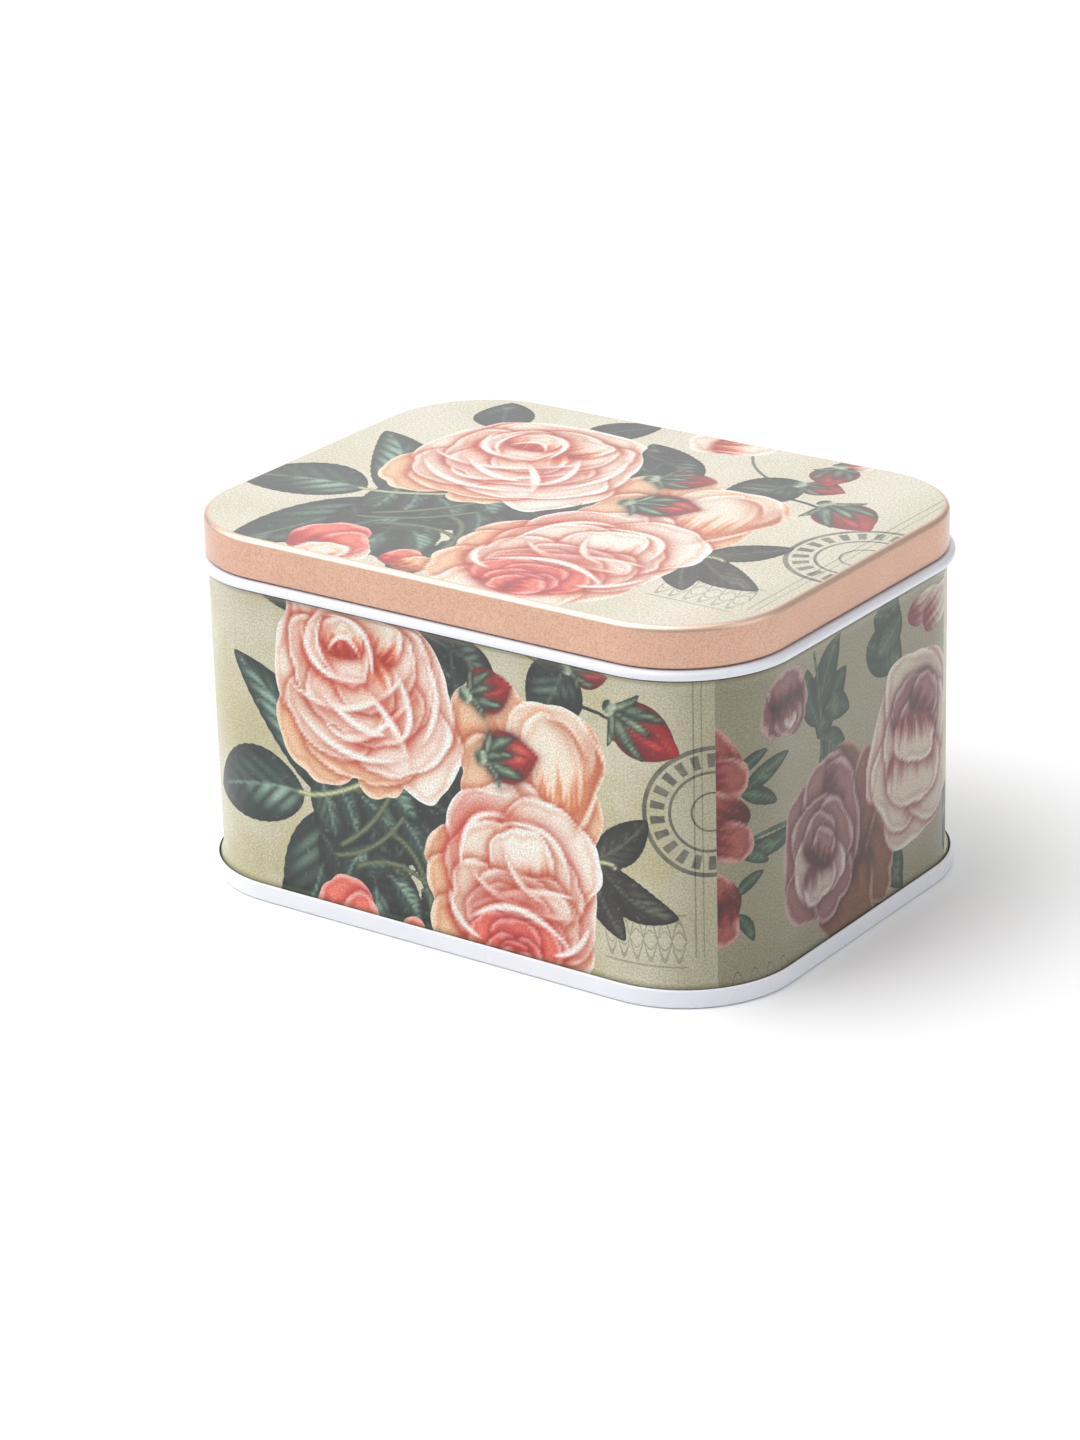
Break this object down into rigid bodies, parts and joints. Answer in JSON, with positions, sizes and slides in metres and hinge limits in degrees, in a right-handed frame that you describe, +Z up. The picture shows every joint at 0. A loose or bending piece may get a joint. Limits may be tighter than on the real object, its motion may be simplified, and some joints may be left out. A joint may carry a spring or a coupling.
{
  "type": "rectangular lift-off-lid tin box",
  "caption": "Rectangular tinplate storage box with rounded corners, printed rose pattern, rolled white bead and rim, and a lift-off lid with a copper-coloured skirt.",
  "frame": {"origin": "centre of the footprint, on the surface the tin stands on", "axes": "+Z up through the lid; +X along the long front, to the right as seen from the front; the front faces -Y"},
  "size_m": [0.105, 0.08, 0.06],
  "materials": {
    "body_print": "satin printed rose pattern on tinplate, fine sandy grain",
    "white_enamel": "gloss white enamel",
    "lid_print": "satin printed top and copper-coloured skirt, fine sandy grain"
  },
  "bodies": {
    "tin_body": {"body_wall": "body_print", "neck_ring": "white_enamel", "bottom_plate": "white_enamel"},
    "lid": {"lid": "lid_print"}
  },
  "joints": [
    {"name": "lid_lift", "type": "slide", "parent": "tin_body", "child": "lid", "axis": [0, 0, 1], "range_m": [0, 0.05]}
  ]
}
